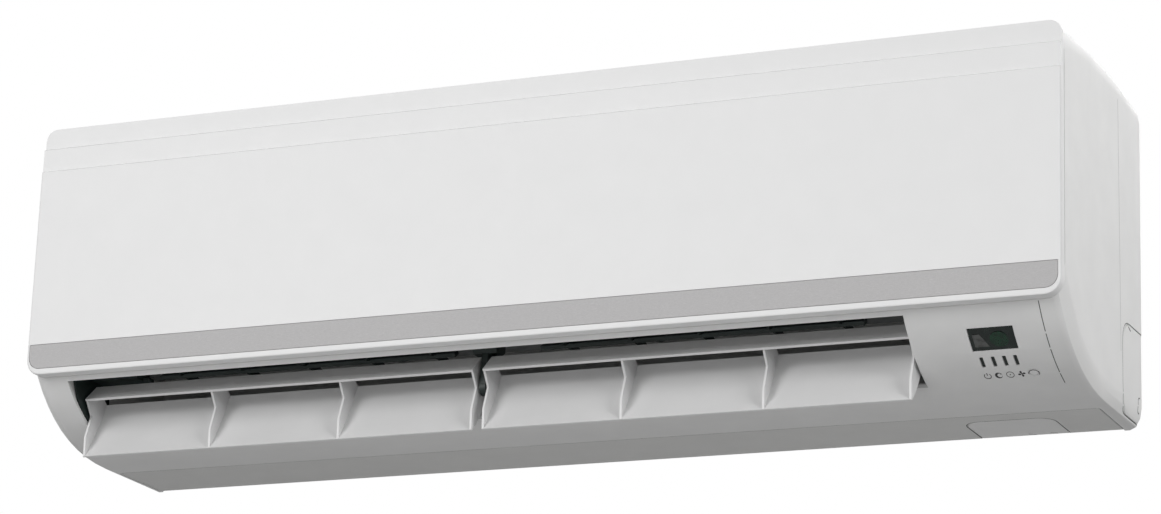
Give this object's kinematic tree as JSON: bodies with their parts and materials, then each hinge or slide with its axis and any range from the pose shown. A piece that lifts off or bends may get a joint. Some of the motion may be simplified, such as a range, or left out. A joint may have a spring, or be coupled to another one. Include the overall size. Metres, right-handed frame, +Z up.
{
  "type": "split air conditioner indoor unit",
  "caption": "Wall-hung indoor half of a split air conditioner: lift-up front panel, top intake grille, cross-flow fan, steerable air outlet along the lower front.",
  "frame": {"origin": "middle of the wall plate's back face, on the wall", "axes": "+X to the right seen from the room, +Y into the wall, +Z up"},
  "size_m": [0.8052, 0.196, 0.2553],
  "materials": {
    "casing_white": "smooth, slightly glossy moulded white",
    "panel_white": "high gloss white",
    "trim_silver": "fine brushed silver grey film",
    "chassis_white": "plain moulded off-white",
    "louver_grey": "satin light grey",
    "dark_plastic": "dull green-black",
    "smoked_plastic": "smoked, glossy",
    "fan_grey": "dull grey",
    "filter_blue": "dull moulded frame",
    "zinc_steel": "zinc plated sheet",
    "fin_aluminium": "bare fin stock",
    "copper_tube": "bright copper",
    "nut_brass": "plain turned brass",
    "black_rubber": "dull black",
    "box_grey": "flame-proof grey",
    "board_green": "lacquered board"
  },
  "bodies": {
    "cabinet": {"front_casing": "casing_white", "side_knockout_right": "casing_white", "side_knockout_left": "casing_white", "display_window": "smoked_plastic", "light_guide": "smoked_plastic", "rear_chassis": "chassis_white", "floor_knockout": "casing_white", "wall_plate": "zinc_steel", "drain_pan": "chassis_white", "drain_plug": "black_rubber", "fan_bearing": "zinc_steel", "bearing_holder": "black_rubber", "fan_motor": "zinc_steel", "motor_clamp": "zinc_steel", "clamp_screw_front": "zinc_steel", "clamp_screw_rear": "zinc_steel", "louver_bracket": "dark_plastic", "duct_liner_left": "dark_plastic", "duct_filler_left": "dark_plastic", "louver_motor": "zinc_steel", "coil_front_lower": "fin_aluminium", "coil_front_upper": "fin_aluminium", "coil_rear": "fin_aluminium", "coil_plate_left": "copper_tube", "coil_plate_right": "copper_tube", "gas_pipe": "copper_tube", "liquid_pipe": "copper_tube", "gas_flare_nut": "nut_brass", "liquid_flare_nut": "nut_brass", "air_filter_left": "filter_blue", "air_filter_right": "filter_blue", "control_box": "box_grey", "control_box_cover": "box_grey", "main_board": "board_green", "terminal_block": "dark_plastic", "display_board": "board_green"},
    "panel": {"front_panel": "panel_white", "trim_strip": "trim_silver", "panel_arm_left": "casing_white", "panel_arm_right": "casing_white"},
    "fan": {"cross_flow_fan": "fan_grey", "motor_shaft": "zinc_steel"},
    "right_louver": {"louver_right": "louver_grey"},
    "left_louver": {"louver_left": "louver_grey"},
    "push_button": {"on_off_button": "casing_white"},
    "left_vane_1": {"vane_left_1": "dark_plastic"},
    "left_vane_2": {"vane_left_2": "dark_plastic"},
    "left_vane_3": {"vane_left_3": "dark_plastic"},
    "left_vane_4": {"vane_left_4": "dark_plastic"},
    "left_vane_5": {"vane_left_5": "dark_plastic"},
    "left_link": {"link_bar_left": "dark_plastic"},
    "right_vane_1": {"vane_right_1": "dark_plastic"},
    "right_vane_2": {"vane_right_2": "dark_plastic"},
    "right_vane_3": {"vane_right_3": "dark_plastic"},
    "right_vane_4": {"vane_right_4": "dark_plastic"},
    "right_vane_5": {"vane_right_5": "dark_plastic"},
    "right_link": {"link_bar_right": "dark_plastic"}
  },
  "joints": [
    {"name": "panel_lift", "type": "hinge", "parent": "cabinet", "child": "panel", "pos_m": [0, -0.184, 0.11025], "axis": [1, 0, 0], "range_deg": [-65, 0]},
    {"name": "fan_spin", "type": "hinge", "parent": "cabinet", "child": "fan", "pos_m": [0, -0.088, -0.00975], "axis": [1, 0, 0], "continuous": true},
    {"name": "right_louver_swing", "type": "hinge", "parent": "cabinet", "child": "right_louver", "pos_m": [0, -0.146, -0.09825], "axis": [1, 0, 0], "range_deg": [-90, 8]},
    {"name": "left_louver_swing", "type": "hinge", "parent": "cabinet", "child": "left_louver", "pos_m": [0, -0.146, -0.09825], "axis": [1, 0, 0], "range_deg": [-90, 8]},
    {"name": "button_press", "type": "slide", "parent": "cabinet", "child": "push_button", "axis": [0, 0.3608, 0.9326], "range_m": [0, 0.001], "stiffness_N_per_m": 300},
    {"name": "left_vane_1_turn", "type": "hinge", "parent": "cabinet", "child": "left_vane_1", "pos_m": [-0.2949, -0.1335, -0.04152], "axis": [0, 0.5589, -0.8292], "range_deg": [-28, 28]},
    {"name": "left_vane_2_turn", "type": "hinge", "parent": "cabinet", "child": "left_vane_2", "pos_m": [-0.2427, -0.1335, -0.04152], "axis": [0, 0.5589, -0.8292], "range_deg": [-28, 28]},
    {"name": "left_vane_3_turn", "type": "hinge", "parent": "cabinet", "child": "left_vane_3", "pos_m": [-0.1905, -0.1335, -0.04152], "axis": [0, 0.5589, -0.8292], "range_deg": [-28, 28]},
    {"name": "left_vane_4_turn", "type": "hinge", "parent": "cabinet", "child": "left_vane_4", "pos_m": [-0.1383, -0.1335, -0.04152], "axis": [0, 0.5589, -0.8292], "range_deg": [-28, 28]},
    {"name": "left_vane_5_turn", "type": "hinge", "parent": "cabinet", "child": "left_vane_5", "pos_m": [-0.0861, -0.1335, -0.04152], "axis": [0, 0.5589, -0.8292], "range_deg": [-28, 28]},
    {"name": "left_link_pivot", "type": "hinge", "parent": "left_vane_1", "child": "left_link", "pos_m": [-0.2949, -0.13725, -0.06817], "axis": [0, 0.5589, -0.8292], "range_deg": [-28, 28]},
    {"name": "right_vane_1_turn", "type": "hinge", "parent": "cabinet", "child": "right_vane_1", "pos_m": [0.0191, -0.1335, -0.04152], "axis": [0, 0.5589, -0.8292], "range_deg": [-28, 28]},
    {"name": "right_vane_2_turn", "type": "hinge", "parent": "cabinet", "child": "right_vane_2", "pos_m": [0.0713, -0.1335, -0.04152], "axis": [0, 0.5589, -0.8292], "range_deg": [-28, 28]},
    {"name": "right_vane_3_turn", "type": "hinge", "parent": "cabinet", "child": "right_vane_3", "pos_m": [0.1235, -0.1335, -0.04152], "axis": [0, 0.5589, -0.8292], "range_deg": [-28, 28]},
    {"name": "right_vane_4_turn", "type": "hinge", "parent": "cabinet", "child": "right_vane_4", "pos_m": [0.1757, -0.1335, -0.04152], "axis": [0, 0.5589, -0.8292], "range_deg": [-28, 28]},
    {"name": "right_vane_5_turn", "type": "hinge", "parent": "cabinet", "child": "right_vane_5", "pos_m": [0.2279, -0.1335, -0.04152], "axis": [0, 0.5589, -0.8292], "range_deg": [-28, 28]},
    {"name": "right_link_pivot", "type": "hinge", "parent": "right_vane_1", "child": "right_link", "pos_m": [0.0191, -0.13725, -0.06817], "axis": [0, 0.5589, -0.8292], "range_deg": [-28, 28]}
  ],
  "couplings": [
    {"joint": "left_louver_swing", "follows": "right_louver_swing", "ratio": 1},
    {"joint": "left_vane_2_turn", "follows": "left_vane_1_turn", "ratio": 1},
    {"joint": "left_vane_3_turn", "follows": "left_vane_1_turn", "ratio": 1},
    {"joint": "left_vane_4_turn", "follows": "left_vane_1_turn", "ratio": 1},
    {"joint": "left_vane_5_turn", "follows": "left_vane_1_turn", "ratio": 1},
    {"joint": "left_link_pivot", "follows": "left_vane_1_turn", "ratio": -1},
    {"joint": "right_vane_2_turn", "follows": "right_vane_1_turn", "ratio": 1},
    {"joint": "right_vane_3_turn", "follows": "right_vane_1_turn", "ratio": 1},
    {"joint": "right_vane_4_turn", "follows": "right_vane_1_turn", "ratio": 1},
    {"joint": "right_vane_5_turn", "follows": "right_vane_1_turn", "ratio": 1},
    {"joint": "right_link_pivot", "follows": "right_vane_1_turn", "ratio": -1}
  ]
}
